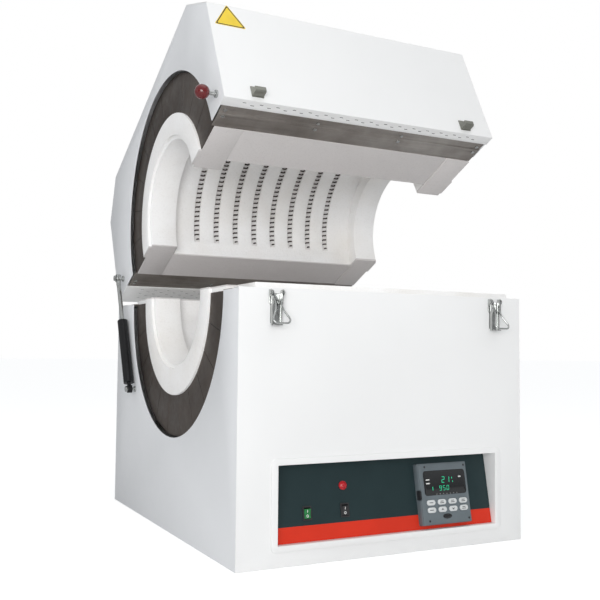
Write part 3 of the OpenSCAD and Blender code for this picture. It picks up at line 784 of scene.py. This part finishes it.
def stage_floor():
    """A wide pale floor, lifted a little towards white where the camera sees it directly."""
    reach, lift = 30, 0.52
    corners = [(-reach, -reach, 0), (reach, -reach, 0), (reach, reach, 0), (-reach, reach, 0)]
    mesh = bpy.data.meshes.new("floor")
    mesh.from_pydata(corners, [], [(0, 1, 2, 3)])
    floor = bpy.data.objects.new("floor", mesh)
    bpy.context.scene.collection.objects.link(floor)
    s = Shader("pale_floor", (0.72, 0.72, 0.72), 0.9)
    s.rough(s.spread(s.noise(2, 3), 0.85, 0.95))
    s.bsdf.inputs["Emission Color"].default_value = (1, 1, 1, 1)
    rays = s.node("ShaderNodeLightPath")
    glow = s.math("MULTIPLY", rays.outputs["Is Camera Ray"], lift)
    s.link(glow, s.bsdf.inputs["Emission Strength"])
    mesh.materials.append(s.mat)


def softbox(name, at, towards, size, power):
    light = bpy.data.lights.new(name, "AREA")
    light.shape = "RECTANGLE"
    light.size, light.size_y = size
    light.energy = power
    obj = bpy.data.objects.new(name, light)
    obj.location = at
    obj.rotation_euler = (Vector(towards) - Vector(at)).to_track_quat("-Z", "Y").to_euler()
    bpy.context.scene.collection.objects.link(obj)


stage_floor()
softbox("key", (-1.7, -3.0, 0.75), (0, -0.1, 0.5), (2.0, 1.2), 58)
softbox("top", (0.1, -0.9, 3.2), (0.1, -0.2, 0), (2.4, 2.4), 9)
softbox("left", (-3.2, 0.2, 1.2), (0, 0, 0.4), (1.4, 1.6), 3)


def studio():
    """A room that is brighter overhead, seen as plain white behind the object."""
    world = bpy.data.worlds.new("studio")
    world.use_nodes = True
    tree = world.node_tree
    lit_by = tree.nodes["Background"]
    lit_by.inputs["Strength"].default_value = 1.0
    coord = tree.nodes.new("ShaderNodeTexCoord")
    split = tree.nodes.new("ShaderNodeSeparateXYZ")
    ramp = tree.nodes.new("ShaderNodeValToRGB")
    stops = ((0.0, 0.30), (0.2, 0.42), (0.6, 0.62), (1.0, 0.80))
    parts = ramp.color_ramp.elements
    while len(parts) < len(stops):
        parts.new(0.5)
    for part, (at, level) in zip(parts, stops):
        part.position = at
        part.color = (level * 0.96, level * 0.98, level, 1)
    tree.links.new(coord.outputs["Generated"], split.inputs[0])
    tree.links.new(split.outputs["Z"], ramp.inputs["Fac"])
    tree.links.new(ramp.outputs["Color"], lit_by.inputs["Color"])
    seen = tree.nodes.new("ShaderNodeBackground")
    seen.inputs["Color"].default_value = (1, 1, 1, 1)
    rays = tree.nodes.new("ShaderNodeLightPath")
    choose = tree.nodes.new("ShaderNodeMixShader")
    tree.links.new(rays.outputs["Is Camera Ray"], choose.inputs[0])
    tree.links.new(lit_by.outputs[0], choose.inputs[1])
    tree.links.new(seen.outputs[0], choose.inputs[2])
    tree.links.new(choose.outputs[0], tree.nodes["World Output"].inputs["Surface"])
    bpy.context.scene.world = world


studio()
bpy.context.scene.view_settings.view_transform = "Standard"

YAW, PITCH, ROLL = (math.radians(a) for a in (26.97, 3.53, 0.50))
CAMERA_AT = (-0.769, -1.523, 0.330)
across = math.cos(PITCH)
forward = Vector((math.sin(YAW) * across, math.cos(YAW) * across, math.sin(PITCH)))
level = Vector((math.cos(YAW), -math.sin(YAW), 0))
upward = level.cross(forward)
right = math.cos(ROLL) * level + math.sin(ROLL) * upward
above = -math.sin(ROLL) * level + math.cos(ROLL) * upward
turn = Matrix((right, above, -forward)).transposed()
camera = bpy.data.objects.new("camera", bpy.data.cameras.new("camera"))
camera.data.lens = 50.42
camera.data.sensor_width = 36
camera.data.clip_end = 200
camera.matrix_world = Matrix.Translation(CAMERA_AT) @ turn.to_4x4()
bpy.context.scene.collection.objects.link(camera)
bpy.context.scene.camera = camera
